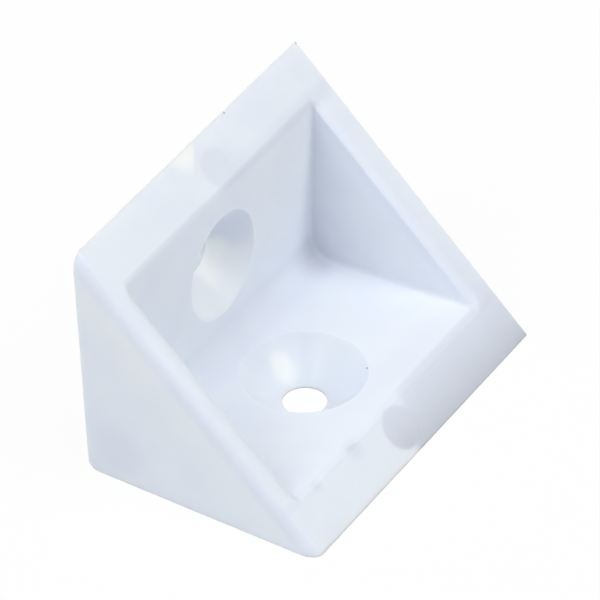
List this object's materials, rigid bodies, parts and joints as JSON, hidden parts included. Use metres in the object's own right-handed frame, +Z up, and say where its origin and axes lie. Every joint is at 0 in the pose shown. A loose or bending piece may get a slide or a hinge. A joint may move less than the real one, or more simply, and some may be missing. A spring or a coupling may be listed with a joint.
{
  "type": "corner bracket",
  "caption": "Right-angled corner bracket moulded in one piece: base plate and back plate joined by triangular side walls, each plate with a countersunk screw hole.",
  "frame": {"origin": "middle of the footprint, on the base plate's underside", "axes": "+Z up, square to the base plate; the back plate's mounting face looks along -X; Y runs along the corner line"},
  "size_m": [0.025, 0.0379, 0.025],
  "materials": {
    "white_plastic": "as moulded, milky white with a soft sheen"
  },
  "bodies": {
    "root": {"bracket": "white_plastic"}
  },
  "joints": []
}
